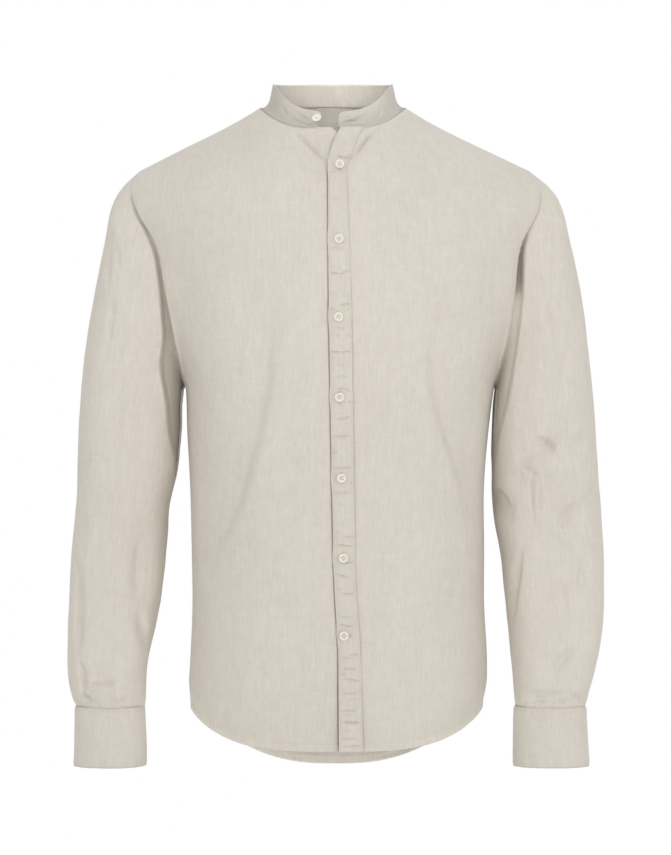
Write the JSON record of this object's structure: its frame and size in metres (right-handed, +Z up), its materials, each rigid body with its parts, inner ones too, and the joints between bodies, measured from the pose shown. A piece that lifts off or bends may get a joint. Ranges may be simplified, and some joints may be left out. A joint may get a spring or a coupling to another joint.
{
  "type": "mandarin collar shirt",
  "caption": "Long-sleeved linen shirt with a band collar, a buttoned front placket, lapped cuffs and a shirt-tail hem, open at the neck, wrists and hem.",
  "frame": {"origin": "middle of the neck opening, level with the seat of the collar at the sides of the neck, where the neck and shoulders of the wearer hold the shirt up", "axes": "+Z up the body, the front faces -Y, +X towards the shirt's left sleeve"},
  "size_m": [0.6132, 0.2691, 0.7987],
  "materials": {
    "linen": "matte plain weave with fine slubs",
    "linen_band": "matte plain weave, two layers",
    "button_shell": "softly polished, off-white"
  },
  "bodies": {
    "root": {"front_right": "linen", "front_left": "linen", "placket": "linen", "back": "linen", "sleeve_right": "linen", "sleeve_left": "linen", "sleeve_placket_right": "linen", "sleeve_placket_left": "linen", "collar": "linen_band", "cuff_right": "linen_band", "cuff_left": "linen_band", "button_collar": "button_shell", "button_1": "button_shell", "button_2": "button_shell", "button_3": "button_shell", "button_4": "button_shell", "button_5": "button_shell", "button_6": "button_shell", "button_7": "button_shell", "cuff_button_right": "button_shell", "cuff_button_left": "button_shell"}
  },
  "joints": []
}
